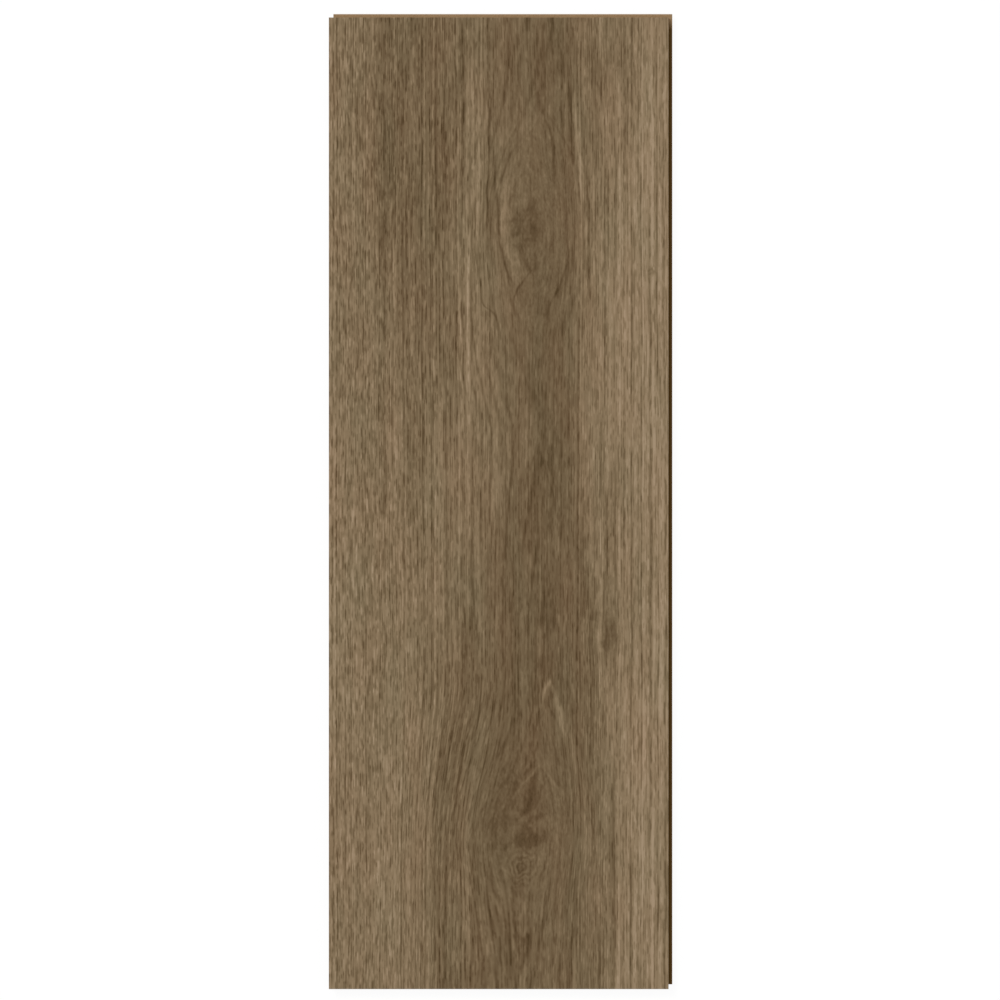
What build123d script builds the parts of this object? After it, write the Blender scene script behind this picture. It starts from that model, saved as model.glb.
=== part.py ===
"""A laminate floor plank: one pressed board with a locking tongue and groove milled along its four edges.

Lengths are in millimetres. The plank lies face up, with its underside at Z = 0 and its origin below the middle
of the face. X runs across the plank and Y along it. The tongues are on the +X and +Y edges, and the grooves
that take a neighbour's tongues are in the -X and -Y edges.
"""

import os

from build123d import *

# The board: its face is what shows once the floor is laid, from one joint plane to the next
FACE_WIDTH = 193.0
FACE_LENGTH = 552.0
THICKNESS = 8.0
FACE_BEVEL = 0.3  # the arris of the face, eased so that it doesn't chip
UNDERSIDE_BEVEL = 0.5  # the arris that meets the floor

# The tongue, which stands out from the joint plane
UPPER_LIP = 3.0  # from the face down to the top of the tongue
TONGUE_REACH = 2.2
TONGUE_THICKNESS = 2.4
TONGUE_NOSE = 0.7  # radius of its rounded nose

# The bead under the tongue, which snaps into the groove's floor and holds the joint shut
BEAD_RADIUS = 0.5
BEAD_RISE = 0.3  # how far it stands out of the tongue's underside
BEAD_FROM_JOINT = 0.9  # from the joint plane to the middle of the bead

# The fit of a tongue in its groove
JOINT_CLEARANCE = 0.1
DUST_GAP = 0.3  # room for chips between the tongue's nose and the back of the groove
LOWER_LIP_GAP = 0.2  # the lower lip stops short, so that the faces are what close up

TONGUE_TOP = THICKNESS - UPPER_LIP
TONGUE_FOOT = TONGUE_TOP - TONGUE_THICKNESS
TONGUE_MIDDLE = (TONGUE_TOP + TONGUE_FOOT) / 2
GROOVE_DEPTH = TONGUE_REACH + DUST_GAP


def tongue_section(reach, allowance):
    """The tongue in section, grown all round by an allowance, with its root run back behind the joint plane."""
    root = TONGUE_REACH
    height = TONGUE_THICKNESS + 2 * allowance
    blade = Pos((reach - root) / 2, TONGUE_MIDDLE) * Rectangle(reach + root, height)
    nose = blade.vertices().group_by(Axis.X)[-1]
    blade = fillet(nose, TONGUE_NOSE)
    bead_centre = Pos(BEAD_FROM_JOINT, TONGUE_FOOT - BEAD_RISE + BEAD_RADIUS)
    return blade + bead_centre * Circle(BEAD_RADIUS + allowance)


def board_section(span):
    """The board between two joint planes, with both arrises eased and the groove's lower lip cut short."""
    left = -span / 2
    right = span / 2
    lower_left = left + LOWER_LIP_GAP
    corners = [
        (left, THICKNESS - FACE_BEVEL),
        (left + FACE_BEVEL, THICKNESS),
        (right - FACE_BEVEL, THICKNESS),
        (right, THICKNESS - FACE_BEVEL),
        (right, UNDERSIDE_BEVEL),
        (right - UNDERSIDE_BEVEL, 0),
        (lower_left + UNDERSIDE_BEVEL, 0),
        (lower_left, UNDERSIDE_BEVEL),
        (lower_left, TONGUE_MIDDLE),
        (left, TONGUE_MIDDLE),
    ]
    return make_face(Polyline(*corners, close=True))


def milled_section(span):
    """The board with a tongue on its right edge, and in its left edge the groove for a neighbour's tongue."""
    tongue = Pos(span / 2, 0) * tongue_section(TONGUE_REACH, 0)
    groove = Pos(-span / 2, 0) * tongue_section(GROOVE_DEPTH, JOINT_CLEARANCE)
    return board_section(span) + tongue - groove


def corner_relief(plane_x, plane_y):
    """The corner that a groove takes off the end of a tongue, as deep as the groove and as long as the tongue."""
    size = max(GROOVE_DEPTH, TONGUE_REACH)
    return Pos(plane_x, plane_y) * Box(size, size, THICKNESS, align=(Align.MIN, Align.MIN, Align.MIN))


def floor_plank():
    """Both pairs of edges are milled right through, so the plank is what the two milled bars have in common."""
    half_width = FACE_WIDTH / 2
    half_length = FACE_LENGTH / 2
    along = extrude(Plane.XZ * milled_section(FACE_WIDTH), half_length + TONGUE_REACH, both=True)
    across = extrude(Plane.YZ * milled_section(FACE_LENGTH), half_width + TONGUE_REACH, both=True)
    reliefs = corner_relief(-half_width, half_length) + corner_relief(half_width, -half_length)
    return (along & across) - reliefs


os.makedirs("parts", exist_ok=True)
plank = floor_plank()
plank.label = "floor_plank"
export_step(plank, "parts/floor_plank.step")
print("floor_plank", plank.bounding_box().size, "volume", round(plank.volume), "mm3")
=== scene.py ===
# %% [markdown]
# A laminate floor plank is one pressed board. Its core is hard fibreboard, its face is a printed
# oak paper under clear resin, and its back is a plain paper that keeps the board from bowing. The
# solid already has the true outline, bevels, tongues and grooves, so this lesson models nothing new
# on it: it dresses the one solid, lights it and looks straight down on it.

# %% Load the frame
from functools import partial
from math import tau

import bmesh
import bpy
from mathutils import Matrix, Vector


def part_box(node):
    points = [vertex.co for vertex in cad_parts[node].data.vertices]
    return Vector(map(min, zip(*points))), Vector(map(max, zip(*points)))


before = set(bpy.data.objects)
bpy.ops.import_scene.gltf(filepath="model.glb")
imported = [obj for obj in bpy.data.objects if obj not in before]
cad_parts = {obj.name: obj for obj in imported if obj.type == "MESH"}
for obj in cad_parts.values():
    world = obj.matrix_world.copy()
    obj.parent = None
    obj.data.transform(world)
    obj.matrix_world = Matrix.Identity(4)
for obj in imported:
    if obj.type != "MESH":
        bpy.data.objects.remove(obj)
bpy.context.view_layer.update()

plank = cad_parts["floor_plank"]
low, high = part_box("floor_plank")
MM = 0.001
FACE_HALF_WIDTH = -low.x / MM
FACE_HALF_LENGTH = -low.y / MM
THICKNESS = high.z / MM
print("face", 2 * FACE_HALF_WIDTH, "by", 2 * FACE_HALF_LENGTH, "mm, thickness", THICKNESS, "mm")

# %% [markdown]
# Colours are easiest to pick and to check as sRGB hex values, but shaders count in linear light, so
# one function turns the first into the second. A second function adds any shader node: sockets are
# given by position or by a capitalised name, settings by their small name, and it hands back the
# output that the next node needs.

# %% Helpers for colours and nodes
def linear(hex_colour):
    """The linear RGBA value of an sRGB colour written as #RRGGBB."""
    levels = [int(hex_colour[i:i + 2], 16) / 255 for i in (1, 3, 5)]
    return [v / 12.92 if v <= 0.04045 else ((v + 0.055) / 1.055) ** 2.4 for v in levels] + [1.0]


def add_node(tree, kind, *sockets, out=0, **named):
    """Add one shader node, set its small-named settings, then set or link its sockets."""
    made = tree.nodes.new("ShaderNode" + kind)
    for name in [name for name in named if name.islower()]:
        setattr(made, name, named.pop(name))
    for key, value in [*enumerate(sockets), *named.items()]:
        if isinstance(value, bpy.types.NodeSocket):
            tree.links.new(value, made.inputs[key])
        else:
            made.inputs[key].default_value = value
    return made.outputs[out] if made.outputs else made


def shown_to_the_eye(add):
    """1 for rays from the camera, and for what gloss or glass shows of the surroundings."""
    ray = add("LightPath").node.outputs
    mirrored = add("Math", ray["Is Glossy Ray"], ray["Is Transmission Ray"], operation="MAXIMUM")
    return add("Math", ray["Is Camera Ray"], mirrored, operation="MAXIMUM")


# %% [markdown]
# The photograph looks straight down, as a scanner does. A long lens far above the plank gives
# nearly that view and still is a real camera. The plank's outline in the picture sets the scale,
# and the camera moves sideways until the outline lies where it does there.

# %% Camera
PICTURE = 1000
OUTLINE_LEFT, OUTLINE_RIGHT = 328.9, 672.4
OUTLINE_TOP, OUTLINE_BOTTOM = 13.55, 989.15
LENS = 200.0

metres_per_pixel = (high.y - low.y) / (OUTLINE_BOTTOM - OUTLINE_TOP)
camera_data = bpy.data.cameras.new("overhead_camera")
camera_data.lens = LENS
distance = PICTURE * metres_per_pixel * LENS / camera_data.sensor_width
camera_data.clip_end = 4 * distance
camera = bpy.data.objects.new("overhead_camera", camera_data)
right_of_middle = (OUTLINE_LEFT + OUTLINE_RIGHT - PICTURE) / 2 * metres_per_pixel
below_middle = (OUTLINE_TOP + OUTLINE_BOTTOM - PICTURE) / 2 * metres_per_pixel
camera.location = (
    (low.x + high.x) / 2 - right_of_middle,
    (low.y + high.y) / 2 + below_middle,
    high.z + distance,
)
bpy.context.scene.collection.objects.link(camera)
bpy.context.scene.camera = camera
print("camera", round(distance, 3), "m above the face,", round(metres_per_pixel / MM, 4), "mm a pixel")

# %% [markdown]
# The floor is a plain white sheet. Seen by the camera it is mostly its own white, so that the
# background is as white as the photograph's, and the rest of it is lit as any floor is, so that it
# keeps the plank's soft shadow. The plank lies flat on it, so from below nothing would show. The
# sheet is therefore clear from its back, and clear to rays shorter than the contact gap, so that
# the underside can be seen and gets the room's light.

# %% Floor
FLOOR_HALF_SIZE = 12.0
FLOOR_DROP = 0.1 * MM
CONTACT_GAP = 0.5 * MM
OWN_WHITE = 0.90
PAPER_GLOW = 1.03

floor_mesh = bpy.data.meshes.new("white_floor")
floor_shape = bmesh.new()
bmesh.ops.create_grid(floor_shape, x_segments=1, y_segments=1, size=FLOOR_HALF_SIZE)
floor_shape.to_mesh(floor_mesh)
floor_shape.free()
floor = bpy.data.objects.new("white_floor", floor_mesh)
floor.location.z = -FLOOR_DROP
bpy.context.scene.collection.objects.link(floor)

paper = bpy.data.materials.new("white_paper_floor")
paper.use_nodes = True
paper.node_tree.nodes.clear()
sheet = partial(add_node, paper.node_tree)
share = sheet("Math", shown_to_the_eye(sheet), OWN_WHITE, operation="MULTIPLY")
lit = sheet("BsdfDiffuse", linear("#F2F2F2"))
glow = sheet("Emission", linear("#FFFFFF"), PAPER_GLOW)
touching = sheet("Math", sheet("LightPath", out="Ray Length"), CONTACT_GAP, operation="LESS_THAN")
clear = sheet("Math", sheet("NewGeometry", out="Backfacing"), touching, operation="MAXIMUM")
white = sheet("MixShader", share, lit, glow)
sheet("OutputMaterial", sheet("MixShader", clear, white, sheet("BsdfTransparent")))
floor_mesh.materials.append(paper)
print("floor", 2 * FLOOR_HALF_SIZE, "m square")

# %% [markdown]
# Soft studio light: an even white room, and one large lamp from the upper left that gives the
# embossed pores and the edges a little shape. The lamp stands far enough off to light both ends of
# the plank alike. Lamp and room together light a flat face at about 1, so colours render as they
# are written.

# %% Light
ROOM_LIGHT = 0.61
LAMP_POWER = 224.0
LAMP_PLACE = (-3.3, 3.3, 5.3)
LAMP_SIZE = 2.64

scene = bpy.context.scene
scene.view_settings.view_transform = "Standard"
room = bpy.data.worlds.new("white_room")
room.use_nodes = True
room.node_tree.nodes.clear()
wall = partial(add_node, room.node_tree)
strength = wall("MapRange", shown_to_the_eye(wall), 0.0, 1.0, ROOM_LIGHT, 1.0)
wall("OutputWorld", wall("Background", linear("#FFFFFF"), strength))
scene.world = room

lamp_data = bpy.data.lights.new("soft_lamp", "AREA")
lamp_data.energy = LAMP_POWER
lamp_data.size = LAMP_SIZE
lamp = bpy.data.objects.new("soft_lamp", lamp_data)
lamp.location = LAMP_PLACE
aim = camera.location.copy()
aim.z = 0.0
lamp.rotation_euler = (aim - lamp.location).to_track_quat("-Z", "Y").to_euler()
scene.collection.objects.link(lamp)
print("room light", ROOM_LIGHT, "and a lamp of", LAMP_POWER, "W")

# %% [markdown]
# The decor is a print of flat-sawn oak. Every pattern in it is laid out in millimetres on the plank
# itself, so the first nodes turn Object coordinates from metres into millimetres: across the plank,
# along it and up. A picture of oak would show one piece of wood only, so the print is built from
# four marks that a brush could make: soft streaks, thin broken lines, soft spots and smooth curves.
# The noise lattice is turned out of the face's plane, because noise cut along its own lattice shows
# a grid.

# %% Decor coordinates
oak = bpy.data.materials.new("melamine_oak_decor_on_fibreboard")
oak.use_nodes = True
oak.node_tree.nodes.clear()
node = partial(add_node, oak.node_tree)

place = node("VectorMath", node("TexCoord", out="Object"), Scale=1 / MM, operation="SCALE")
across = node("SeparateXYZ", place, out="X")
along = node("SeparateXYZ", place, out="Y")
height = node("SeparateXYZ", place, out="Z")
on_face = node("CombineXYZ", across, along, 0.0)
LATTICE_TURN = (0.5, 0.3, 0.6)
# Any two steps that no small whole number fits keep neighbouring columns of lines unlike each other
COLUMN_STAGGER = 0.618
COLUMN_SPREAD = 7.31


def streaks(where, width, length, seed, detail=0.0):
    """Soft noise from -0.5 to 0.5, its streaks about width across the grain and length along it."""
    lattice = node("Mapping", where, (0, 0, seed), LATTICE_TURN, (1 / width, 1 / length, 1))
    return node("Math", node("TexNoise", lattice, Scale=1.0, Detail=detail), 0.5, operation="SUBTRACT")


def grain_lines(where, pitch, width, length, seed, bare):
    """Thin straight lines, one to a column of the given pitch, each broken in its own places."""
    sideways = node("SeparateXYZ", where, out="X")
    column_at = node("Math", sideways, 1 / pitch, seed, operation="MULTIPLY_ADD")
    column = node("Math", column_at, operation="FLOOR")
    lot = node("TexWhiteNoise", W=column, noise_dimensions="1D")
    middle = node("MapRange", lot, 0.0, 1.0, 0.25, 0.75)
    off = node("Math", node("Math", column_at, operation="FRACT"), middle, operation="SUBTRACT")
    aside = node("Math", off, operation="ABSOLUTE")
    body = node("MapRange", aside, 0.2 * width / pitch, 0.8 * width / pitch, 1.0, 0.0)
    run = node("Math", node("SeparateXYZ", where, out="Y"), 1 / length, operation="MULTIPLY")
    staggered = node("Math", column, COLUMN_STAGGER, run, operation="MULTIPLY_ADD")
    apart = node("Math", column, COLUMN_SPREAD, operation="MULTIPLY")
    spot = node("CombineXYZ", apart, staggered, 0.0)
    broken = node("TexNoise", spot, Scale=1.0, Detail=1.0, noise_dimensions="2D")
    shown = node("MapRange", broken, bare, bare + 0.12, 0.0, 1.0)
    return node("Math", body, shown, operation="MULTIPLY")


def patch(where, x, y, half_width, half_length, inner=0.0):
    """A soft spot: 1 in its middle, falling smoothly to 0 at its edge."""
    scale = (1 / half_width, 1 / half_length, 0)
    offset = (-x / half_width, -y / half_length, 0)
    nearness = node("VectorMath", where, scale, offset, operation="MULTIPLY_ADD")
    radius = node("VectorMath", nearness, operation="LENGTH", out="Value")
    return node("MapRange", radius, inner, 1.0, 1.0, 0.0, interpolation_type="SMOOTHSTEP")


def smooth_curve(distance, points, limit):
    """A smooth curve through (distance, value) points, with values up to a limit either way."""
    points = sorted(points)
    first, last = points[0][0], points[-1][0]
    run = node("MapRange", distance, first, last, 0.0, 1.0)
    made = node("FloatCurve", 1.0, run)
    curve = made.node.mapping.curves[0].points
    while len(curve) < len(points):
        curve.new(0.5, 0.5)
    for i, (at, value) in enumerate(points):
        curve[i].location = ((at - first) / (last - first), 0.5 + value / (2 * limit))
    made.node.mapping.update()
    return node("MapRange", made, 0.0, 1.0, -limit, limit)


print("decor laid out in millimetres from the middle of the face")

# %% [markdown]
# The grain isn't straight. It wanders slowly from side to side, swells out round each knot, and
# leans aside left of the lowest knot. So the pattern isn't drawn on the plain distance across the
# plank, but on a warped one: lines of equal warped distance are the lines that the fibres follow.

# %% Grain flow
# Each wander: how far, its width and length, and its seed
WANDERS = [(4.0, 90.0, 300.0, 1.5), (1.5, 10.0, 40.0, 7.5)]
# Each swelling: x, y, half width, half length and how hard it pushes the grain aside
SWELLINGS = [
    (17, 155, 32, 72, 0.50),
    (12, -185, 40, 102, 0.38),
    (20, -184, 44, 56, 0.22),
    (62.5, -76, 16, 26, 0.25),
    (86, 130.5, 4, 9, 0.6),
]
# Each drift: x, half width, where along the plank it starts and is full, and how far it goes aside
DRIFTS = [(-24, 42, -95, -195, 11.0)]

warped = across
for far, width, length, seed in WANDERS:
    warped = node("Math", streaks(on_face, width, length, seed), far, warped, operation="MULTIPLY_ADD")
for x, y, half_width, half_length, push in SWELLINGS:
    swell = patch(on_face, x, y, half_width, half_length)
    shift = node("Math", node("Math", across, x, operation="SUBTRACT"), swell, operation="MULTIPLY")
    warped = node("Math", shift, -push, warped, operation="MULTIPLY_ADD")
only_across = node("CombineXYZ", across, 0.0, 0.0)
for x, half_width, start, full, far in DRIFTS:
    growing = node("MapRange", along, start, full, 0.0, far, interpolation_type="SMOOTHSTEP")
    side = patch(only_across, x, 0, half_width, 1)
    warped = node("Math", side, growing, warped, operation="MULTIPLY_ADD")
grain = node("CombineXYZ", warped, along, 0.0)
print(len(WANDERS), "wanders,", len(SWELLINGS), "swellings and", len(DRIFTS), "drift of the grain")

# %% [markdown]
# Flat-sawn boards show the growth rings as pointed arches, because the saw cuts the rings at a
# slant. The arches come from geometry: a ring's number depends on how far a point is from the heart
# line, sideways and in depth. Where the heart runs deeper under the face, the ring closes in an
# arch.

# %% Growth rings
# The heart line: distance along the plank, its place across and its depth under the face
HEART = [
    (-276, 13, 7), (-242, 13, 3), (-208, 13, 0), (-186, 18, 1), (-146, 24, 7), (-106, 28, 14),
    (-78, 26, 17), (-21, 24, 24), (36, 24, 30), (67, 19, 29), (99, 15, 24), (121, 15, 18),
    (150, 16, 11), (164, 17, 12), (195, 21, 19), (224, 26, 28), (276, 26, 36),
]
HEART_BLUNTNESS = 1.0
ARCH_REACH = 64.0
SIDEWAYS_SKEW = -0.30

heart_across = smooth_curve(along, [(y, x) for y, x, _ in HEART], 50.0)
heart_depth = smooth_curve(along, [(y, depth) for y, _, depth in HEART], 50.0)
from_heart = node("Math", warped, heart_across, operation="SUBTRACT")
near = node("MapRange", node("Math", from_heart, operation="ABSOLUTE"), 0.0, ARCH_REACH, 1.0, 0.0)
fade = node("Math", near, 2.0, operation="POWER")
blunt = node("CombineXYZ", from_heart, HEART_BLUNTNESS, 0.0)
ring_radius = node("VectorMath", blunt, operation="LENGTH", out="Value")
ring_radius = node("Math", heart_depth, fade, ring_radius, operation="MULTIPLY_ADD")
ring_radius = node("Math", from_heart, SIDEWAYS_SKEW, ring_radius, operation="MULTIPLY_ADD")
ring = node("CombineXYZ", ring_radius, along, 0.0)
print("heart line through", len(HEART), "points")

# %% [markdown]
# The broad light and dark of the face: a dark heart stripe that widens towards one end, a second
# one on the other side and paler wood towards the long tongue. Some stripes end sharply at a growth
# ring and fade only on their other side.

# %% Broad shades
# Each shade: x, y, half width, half length, share of it that is full, and how much darker it is,
# or paler below zero
SHADES = [
    (28, 0, 48, 900, 0.15, 0.14),
    (-46, 250, 40, 200, 0.25, 0.08),
    (-8, -210, 42, 190, 0.30, 0.07),
    (-28, 80, 9, 180, 0.0, 0.11),
    (-59, 20, 8, 260, 0.0, -0.05),
    (-72, 150, 6, 150, 0.0, 0.03),
    (-31, 190, 7, 60, 0.0, 0.05),
    (-52, 207, 7, 34, 0.0, 0.06),
    (51, 205, 7, 32, 0.0, 0.06),
    (72, 185, 7, 55, 0.0, 0.08),
    (45, 72, 6, 32, 0.0, -0.08),
    (-24, -60, 7, 45, 0.0, 0.10),
    (94, -30, 9, 230, 0.0, -0.09),
    (2, -236, 16, 42, 0.0, -0.05),
    (19, 36, 11, 36, 0.0, -0.12),
    (53, 240, 12, 60, 0.0, 0.06),
    (67, -200, 7, 90, 0.0, 0.09),
    (-10, -236, 7, 50, 0.0, -0.08),
    (0, 262, 22, 60, 0.0, 0.09),
    (72, 265, 34, 70, 0.2, 0.09),
    (-61, -180, 16, 200, 0.2, -0.08),
    (-91, -120, 16, 200, 0.2, -0.05),
    (-4, 30, 14, 70, 0.0, -0.05),
    (54, 30, 16, 90, 0.2, -0.06),
    (78, 110, 36, 120, 0.3, -0.07),
    (90, -140, 16, 70, 0.0, -0.08),
]
# Each sharp stripe: how far it fades, to the left below zero, how much darker it is at the foot,
# middle and head of the plank, and its edge as (distance along, place across) points
STRIPES = [
    (-70, (0.10, 0.10, 0.10), [
        (-276, 66), (-197, 66), (-146, 63), (-78, 56), (-30, 47), (100, 44), (170, 42), (276, 45),
    ]),
    (70, (0.11, 0.07, 0.00), [
        (-276, -30), (-197, -30), (-146, -31.5), (-105, -28.7), (-60, -16), (-27, -7), (-12, -3),
        (0, 6), (24, 14), (276, 10),
    ]),
    (60, (0.00, 0.03, 0.14), [
        (-276, -66), (0, -66), (60, -72), (120, -75), (200, -76), (276, -77),
    ]),
]
EDGE_BLUR = 1.2
BASE_TONE = 0.63
PALE_SIDE = 0.12

tone = node("MapRange", warped, 20.0, 90.0, BASE_TONE, BASE_TONE + PALE_SIDE)
for x, y, half_width, half_length, full, darker in SHADES:
    shade = patch(grain, x, y, half_width, half_length, full)
    tone = node("Math", shade, -darker, tone, operation="MULTIPLY_ADD")
for fade_over, (at_foot, at_middle, at_head), edge in STRIPES:
    edge_at = smooth_curve(along, edge, 70.0)
    past_edge = node("Math", warped, edge_at, operation="SUBTRACT")
    inside = node("Math", past_edge, 1 / fade_over, operation="MULTIPLY")
    blur = EDGE_BLUR / abs(fade_over)
    sharp = node("MapRange", inside, -blur, blur, 0.0, 1.0)
    soft = node("MapRange", inside, 0.0, 1.0, 1.0, 0.0)
    darkness = smooth_curve(along, [
        (-276, at_foot), (-110, at_foot), (0, at_middle), (130, at_head), (276, at_head),
    ], 0.5)
    stripe = node("Math", sharp, soft, operation="MULTIPLY")
    shade = node("Math", stripe, darkness, operation="MULTIPLY")
    tone = node("Math", tone, shade, operation="SUBTRACT")
print(len(SHADES), "shades and", len(STRIPES), "sharp stripes")

# %% [markdown]
# The fine grain: soft streaks, and over them thin lines, dark where a pore was cut open and pale
# between. Oak's pores are 0.2 to 0.3 mm wide and some millimetres long. They are drawn about three
# times coarser, because a pixel of the picture is more than half a millimetre wide. Close to a knot
# the fibres are drawn together, and the lines give way to a fine speckle.

# %% Grain lines
# Strengths differ over the face: by the groove, left of the heart, on the heart and by the tongue
ZONES = [-75, -35, 18, 60]
# Each set of soft streaks: the lines it follows, width, length, seed, detail, strengths in the zones
STREAKS = [
    (grain, 16.0, 160.0, 11.0, 1.0, (0.14, 0.14, 0.14, 0.12)),
    (ring, 5.0, 250.0, 13.0, 1.0, (0.10, 0.16, 0.20, 0.12)),
    (grain, 2.6, 7.0, 15.0, 1.0, (0.36, 0.08, 0.20, 0.08)),
    (grain, 1.4, 200.0, 19.0, 1.0, (0.18, 0.24, 0.14, 0.24)),
]
# Each set of thin lines: the lines it follows, pitch, width, length, seed, bare share and strengths
LINES = [
    (grain, 1.15, 0.60, 7.0, 100.0, 0.48, (-0.25, -0.20, -0.15, -0.18)),
    (grain, 1.90, 0.80, 13.0, 200.0, 0.48, (-0.20, -0.25, -0.14, -0.21)),
    (grain, 3.30, 1.20, 12.0, 600.0, 0.50, (-0.16, -0.08, -0.12, -0.07)),
    (grain, 4.60, 1.40, 90.0, 800.0, 0.40, (-0.05, -0.16, -0.06, -0.21)),
    (ring, 4.00, 1.20, 60.0, 300.0, 0.42, (0.00, -0.06, -0.15, -0.05)),
    (grain, 1.50, 0.70, 8.0, 400.0, 0.48, (0.20, 0.16, 0.12, 0.15)),
    (grain, 2.70, 1.10, 14.0, 700.0, 0.50, (0.14, 0.10, 0.11, 0.10)),
    (grain, 5.00, 1.80, 80.0, 500.0, 0.42, (0.06, 0.12, 0.06, 0.15)),
]
# Each calm spot, where a knot has drawn the fibres together: x, y, half width and half length
CALM_SPOTS = [(20, 160, 36, 105), (15, -180, 40, 70), (62, -74, 14, 18)]
CALM_SHARE = 0.55
SPECKLE = 0.36
SPECKLE_WIDTH, SPECKLE_LENGTH = 1.2, 2.4


def by_zone(strengths):
    """A strength that passes smoothly from zone to zone across the face."""
    points = [(-100, strengths[0]), *zip(ZONES, strengths), (100, strengths[-1])]
    return smooth_curve(across, points, 0.5)


layers = [(streaks(*how), strengths) for *how, strengths in STREAKS]
lines = [(grain_lines(*how), strengths) for *how, strengths in LINES]
printed = 0.0
for layer, strengths in lines:
    printed = node("Math", layer, by_zone(strengths), printed, operation="MULTIPLY_ADD")
for layer, strengths in layers:
    tone = node("Math", layer, by_zone(strengths), tone, operation="MULTIPLY_ADD")
calm = 0.0
for x, y, half_width, half_length in CALM_SPOTS:
    spot = patch(on_face, x, y, half_width, half_length, 0.3)
    calm = node("Math", spot, calm, operation="MAXIMUM")
lively = node("MapRange", calm, 0.0, 1.0, 1.0, CALM_SHARE)
tone = node("Math", printed, lively, tone, operation="MULTIPLY_ADD")
speckled = node("Math", calm, SPECKLE, operation="MULTIPLY")
specks = streaks(on_face, SPECKLE_WIDTH, SPECKLE_LENGTH, 17.0, 1.0)
tone = node("Math", specks, speckled, tone, operation="MULTIPLY_ADD")
pores = node("Math", lines[0][0], lines[1][0], operation="MAXIMUM")
print(len(STREAKS), "sets of streaks and", len(LINES), "sets of lines")

# %% [markdown]
# Knots are darker spots with ragged edges that the grain swells round. Round the largest one the
# rings close to a lens, and beside the others the last rings show as short pointed arches, some
# pale and some dark. These few are what the eye finds first in the plank, so each is drawn where it
# lies, as a spot, a swirl, an arch or a line.

# %% Knots and arches
# Each knot: x, y, half width, half length and how much darker it is, or paler below zero
KNOTS = [
    (16, 158, 12, 17, 0.20),
    (10, 161, 2.5, 4, 0.10),
    (14.5, 147, 4, 3.5, 0.12),
    (25, 156, 2.5, 3, 0.08),
    (19, 136, 4, 11, 0.10),
    (24, 232, 4, 16, 0.12),
    (19, 214, 3, 9, -0.08),
    (10, 136, 4, 10, -0.12),
    (63, -75, 6.5, 13, 0.27),
    (57, -64, 9, 5, 0.15),
    (20, -170, 9, 15, 0.15),
    (18, -177, 7, 2.5, -0.10),
    (22, -179, 5, 2, 0.10),
    (19, -190, 12, 8, 0.24),
    (13.5, -206, 3.5, 4.5, 0.06),
    (13.3, -248, 5, 6, 0.18),
    (86.5, 131, 2.4, 3.4, 0.32),
    (28, -62, 8, 18, 0.12),
    (24, -92, 6, 8, 0.08),
]
# Each swirl: x, y, reach, spacing of its rings and how strong they are
SWIRLS = [(13.5, -206, 16, 3.2, 0.085), (16, 158, 14, 5.0, 0.03)]
# Each arch: x and y of its point, how steep it is, its length, and how much paler it is, or darker
# below zero
ARCHES = [
    (28, -114, 2.0, 16, -0.10),
    (26, 224, 1.6, 46, -0.08),
    (22, 34, 3.4, 44, -0.10),
]
ARCH_THICKNESS = 1.1
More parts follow.
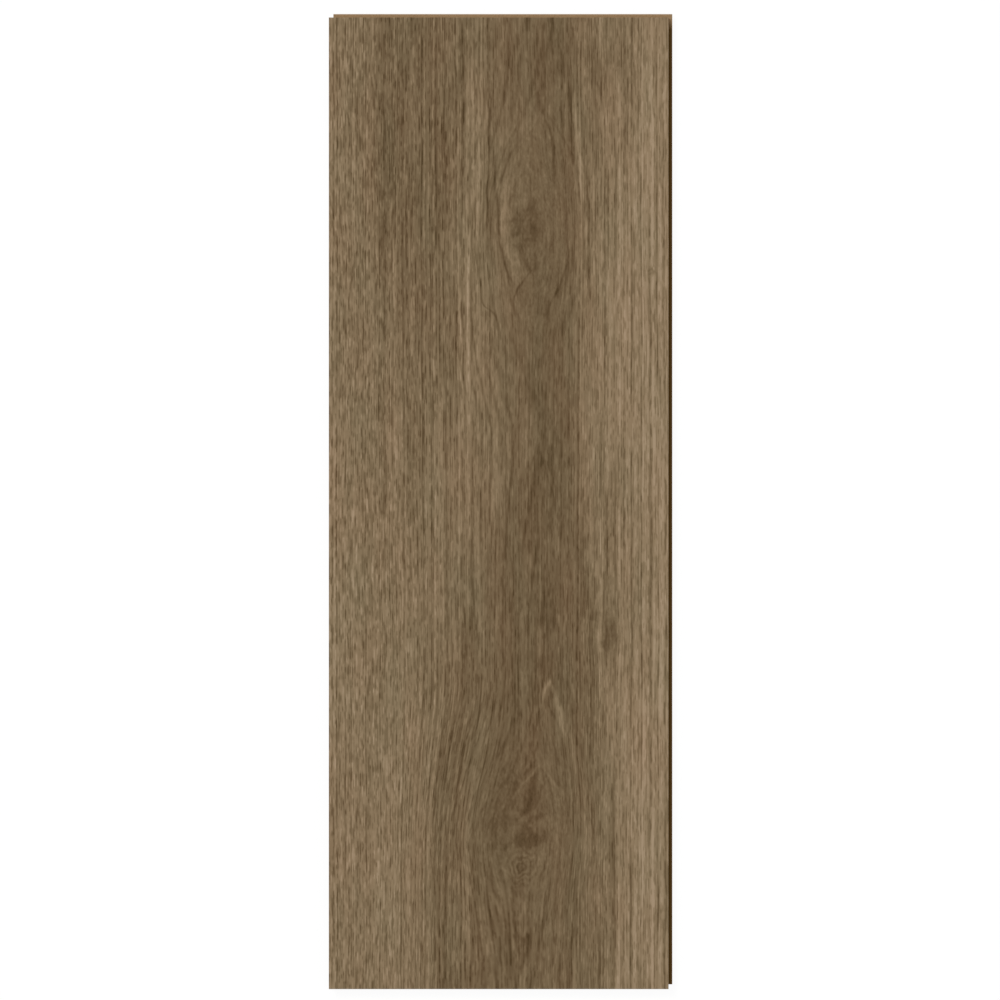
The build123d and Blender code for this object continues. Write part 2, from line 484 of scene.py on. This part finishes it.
# Each ring that stands out: how much paler it is, or darker below zero, its thickness, and its line
# as (distance along, place across) points
RING_LINES = [
    (-0.28, 1.2, [(222, -5), (211, -5.5), (195, -6), (172, -6.7), (155, -6)]),
    (-0.34, 1.2, [
        (205, -3.5), (177, -1.5), (161, -0.4), (150, 0.7), (135, 3.6), (124, 6.4), (116, 9),
    ]),
    (-0.30, 1.3, [(133, 19), (124, 12.5), (114, 7.5)]),
    (-0.26, 2.6, [(151, 12), (144, 13.4), (138, 15.5), (128, 19)]),
    (-0.12, 4.0, [(250, -3), (211, -4.5), (172, -5.5), (136, -6)]),
    (-0.30, 1.2, [(156, -12), (121, -10.6), (113, -8.9), (109, -4), (99, 0)]),
    (-0.32, 1.8, [(250, 40.3), (227, 41), (211, 41.7), (196, 42), (185, 45.5)]),
    (-0.42, 1.3, [(198, 50), (161, 50.8), (138, 51.4), (112, 50.8)]),
    (0.38, 1.8, [(236, 42.8), (216, 44), (195, 46.2), (178, 47.4), (161, 48.5), (140, 50)]),
    (-0.28, 1.3, [(232, 21.5), (215, 28), (207, 30.3), (190, 30.9), (160, 31.4)]),
    (-0.24, 1.2, [(235, 34.5), (213, 36), (200, 37.5)]),
    (-0.28, 1.3, [(154, 38), (138, 39.4), (124, 35), (111, 28.6), (97, 28.6)]),
    (-0.18, 1.8, [(210, 12), (193, 4.2), (176, 0.5)]),
    (0.24, 3.2, [(190, 6), (170, 3.5), (158, 3), (146, 4.5), (134, 8), (120, 11)]),
    (0.25, 1.3, [(276, -10.5), (200, -11.2), (150, -12), (100, -13.5)]),
    (0.26, 1.3, [(276, -14.8), (200, -15), (150, -16.5), (100, -17), (30, -15)]),
    (-0.28, 1.0, [(276, -20.3), (200, -20.5), (150, -21)]),
    (0.28, 1.2, [(160, -22.5), (100, -22), (40, -20), (-10, -18)]),
    (-0.30, 1.1, [(200, 75), (150, 76), (110, 77.5), (50, 79)]),
    (0.28, 1.2, [(276, 64.5), (230, 64.5), (185, 63.5)]),
    (-0.26, 1.0, [(276, 80.5), (220, 80), (180, 81)]),
    (0.34, 2.0, [(-99, 29.6), (-108, 25.8), (-119, 22.5)]),
    (0.40, 2.1, [(-97, 27.4), (-110, 32.4), (-118, 34.9), (-136, 37.5)]),
    (0.22, 1.5, [(-147, 25), (-155, 17.8), (-162, 12), (-171, 8)]),
    (0.09, 1.5, [(-147, 23.5), (-157, 30.3), (-164, 35)]),
    (-0.28, 2.2, [(-145, 22), (-158, 12), (-167, 8)]),
    (-0.16, 2.0, [(-149, 26), (-158, 32.5), (-165, 37)]),
    (-0.18, 3.4, [(-150, 21), (-165, 18), (-178, 15)]),
    (0.18, 1.6, [(-213, 18.5), (-225, 15), (-238, 11.5)]),
]
TORN_BY = 14.0
SWIRL_TEAR = (0.5, 0.7, 0)
FRAYED_BY = 3.0

ragged = streaks(on_face, 5.0, 8.0, 31.0, 2.0)
torn = node("VectorMath", node("CombineXYZ", ragged, ragged, 0.0), Scale=TORN_BY, operation="SCALE")
knotted = node("VectorMath", on_face, torn, operation="ADD")
rounded = node("VectorMath", torn, SWIRL_TEAR, on_face, operation="MULTIPLY_ADD")
for x, y, half_width, half_length, darker in KNOTS:
    spot = patch(knotted, x, y, half_width, half_length, 0.25)
    tone = node("Math", spot, -darker, tone, operation="MULTIPLY_ADD")
for x, y, reach, spacing, strength in SWIRLS:
    radius = node("VectorMath", rounded, (x, y, 0), operation="DISTANCE", out="Value")
    wave = node("Math", node("Math", radius, tau / spacing, operation="MULTIPLY"), operation="SINE")
    swirl = node("Math", wave, patch(rounded, x, y, reach, reach, 0.3), operation="MULTIPLY")
    tone = node("Math", swirl, strength, tone, operation="MULTIPLY_ADD")
fray = streaks(on_face, 4.0, 14.0, 33.0, 2.0)
frayed = node("Math", fray, FRAYED_BY, across, operation="MULTIPLY_ADD")
for x, y, steep, length, paler in ARCHES:
    aside = node("Math", node("Math", frayed, x, operation="SUBTRACT"), operation="ABSOLUTE")
    under_point = node("Math", along, -1.0, y, operation="MULTIPLY_ADD")
    below = node("Math", under_point, 1 / steep, operation="MULTIPLY")
    off = node("Math", node("Math", aside, below, operation="SUBTRACT"), operation="ABSOLUTE")
    leg = node("MapRange", off, 0.0, ARCH_THICKNESS, 1.0, 0.0)
    ending = node("MapRange", below, 0.5 * length / steep, length / steep, 1.0, 0.0)
    drawn = node("Math", leg, ending, operation="MULTIPLY")
    tone = node("Math", drawn, paler, tone, operation="MULTIPLY_ADD")
rings = 0.0
for paler, thickness, points in RING_LINES:
    middle = (points[0][0] + points[-1][0]) / 2
    half = (points[0][0] - points[-1][0]) / 2
    off = node("Math", frayed, smooth_curve(along, points, 60.0), operation="SUBTRACT")
    body = node("MapRange", node("Math", off, operation="ABSOLUTE"), 0.0, thickness, paler, 0.0)
    from_middle = node("Math", node("Math", along, middle, operation="SUBTRACT"), operation="ABSOLUTE")
    ending = node("MapRange", from_middle, 0.6 * half, half, 1.0, 0.0)
    rings = node("Math", body, ending, rings, operation="MULTIPLY_ADD")
uneven = node("MapRange", streaks(on_face, 5.0, 9.0, 35.0), -0.25, 0.1, 0.3, 1.0)
tone = node("Math", rings, uneven, tone, operation="MULTIPLY_ADD")
print(len(KNOTS), "spots,", len(SWIRLS), "swirls and", len(ARCHES), "arches")
print(len(RING_LINES), "ring lines")

# %% [markdown]
# Up to here the print is one number, its tone. The printer lays it down in brown inks, so a ramp
# gives each tone its colour. Two ramps, one a little redder and one a little greener, are mixed in
# slow streaks, because oak isn't one hue and a single ramp looks like a stain.

# %% Decor colour
REDDISH = ["#50341B", "#674B32", "#7C6247", "#94785C", "#AA8D72"]
OLIVE = ["#423A1E", "#5A4F35", "#71654A", "#897B5F", "#9F9075"]


def tone_ramp(colours):
    """The colour of each tone, from the darkest to the palest."""
    made = node("ValToRGB", tone)
    ramp = made.node.color_ramp
    while len(ramp.elements) < len(colours):
        ramp.elements.new(0.5)
    for i, colour in enumerate(colours):
        ramp.elements[i].position = i / (len(colours) - 1)
        ramp.elements[i].color = linear(colour)
    return made


redness = node("MapRange", streaks(grain, 14.0, 60.0, 71.0, 1.0), -1.0, 1.0, 0.0, 1.0)
decor = node("MixRGB", redness, tone_ramp(OLIVE), tone_ramp(REDDISH))
print("tones from", OLIVE[0], "to", REDDISH[-1])

# %% [markdown]
# Where the board has been milled, the fibreboard core shows. It is tan, pressed denser and darker
# towards both faces, and speckled with fine fibres. The long edges carry painted shade: a dark brown
# that stands in for the shade on the long tongue, and it stops just short of one end. The underside
# is covered by a plain balancing paper with a few flecks in it.

# %% Edges and underside
FACE_FROM = THICKNESS - 0.45
PAPER_TO = 0.2
# Painted shade on the long edges: where it starts across, where it stops along, and how raggedly it
# ends
EDGE_SHADE_FROM = FACE_HALF_WIDTH - 2.7
EDGE_SHADE_WITHIN = FACE_HALF_LENGTH - 0.05
EDGE_SHADE_TO = 272.0
EDGE_SHADE_FADE = 3.0

# Real fibres are a tenth of a millimetre thick; these are drawn coarser so that they show
FIBRES_PER_MM = (1.2, 1.2, 3.5)
fibre_place = node("VectorMath", place, FIBRES_PER_MM, operation="MULTIPLY")
fibres = node("TexNoise", fibre_place, Scale=1.0, Detail=3.0)
from_core = node("Math", height, THICKNESS / 2, operation="SUBTRACT")
depth = node("Math", from_core, operation="ABSOLUTE")
dense = node("MapRange", depth, 1.5, THICKNESS / 2, 0.0, 1.0)
core = node("MixRGB", dense, linear("#A08462"), linear("#8A6E4E"))
speckle = node("MapRange", fibres, 0.3, 0.7, 0.0, 1.0)
fibreboard = node("MixRGB", speckle, node("MixRGB", 0.25, core, linear("#5E4830")), core)

# The painted shade ends raggedly just short of one end of the plank
edge_shade_ragging = node("Math", fibres, 0.5, operation="SUBTRACT")
edge_shade_reach = node("Math", edge_shade_ragging, EDGE_SHADE_FADE, along, operation="MULTIPLY_ADD")
shaded_short_of_end = node("MapRange", edge_shade_reach, EDGE_SHADE_TO - EDGE_SHADE_FADE, EDGE_SHADE_TO + EDGE_SHADE_FADE, 1.0, 0.0)
beyond = node("Math", node("Math", across, operation="ABSOLUTE"), EDGE_SHADE_FROM, operation="GREATER_THAN")
between = node("Math", node("Math", along, operation="ABSOLUTE"), EDGE_SHADE_WITHIN, operation="LESS_THAN")
on_edge = node("Math", beyond, between, operation="MULTIPLY")
painted_edge_shade = node("Math", on_edge, shaded_short_of_end, operation="MULTIPLY")
# 5A4018 is painted shade: a dark brown laid on the long edges in place of the shade on the tongue
edge = node("MixRGB", painted_edge_shade, fibreboard, linear("#5A4018"))

felted = node("TexNoise", on_face, Scale=0.15, Detail=4.0)
clouds = node("MapRange", felted, 0.35, 0.65, 0.15, 0.40)
flecks = node("Math", speckle, 0.45, clouds, operation="MULTIPLY_ADD")
backing = node("MixRGB", flecks, linear("#A48F70"), linear("#C3B499"))
lower = node("MixRGB", node("Math", height, PAPER_TO, operation="LESS_THAN"), edge, backing)
is_face = node("Math", height, FACE_FROM, operation="GREATER_THAN")
colour = node("MixRGB", is_face, lower, decor)
print("print above", FACE_FROM, "mm, paper below", PAPER_TO, "mm, painted_shade beyond", EDGE_SHADE_FROM, "mm")

# %% [markdown]
# The resin face is satin, and the press embosses the pores of the print into it, so the thin dark
# lines are also shallow grooves. Fibreboard and paper are dull.

# %% Surface
EMBOSS_DEPTH = 0.06
SATIN, PORE_DULLNESS, RAW_DULLNESS = 0.42, 0.15, 0.85
RESIN_IOR = 1.5
RESIN_GLOSS = 0.12

satin = node("Math", pores, PORE_DULLNESS, SATIN, operation="MULTIPLY_ADD")
dullness = node("MapRange", is_face, 0.0, 1.0, RAW_DULLNESS, satin)
pits = node("Math", pores, is_face, operation="MULTIPLY")
emboss = node("Bump", 0.5, EMBOSS_DEPTH * MM, Height=pits, invert=True)
skin = node(
    "BsdfPrincipled", colour, Roughness=dullness, IOR=RESIN_IOR, Normal=emboss,
    **{"Specular IOR Level": RESIN_GLOSS},
)
node("OutputMaterial", skin)
plank.material_slots[0].material = oak
print("material of", len(oak.node_tree.nodes), "nodes")
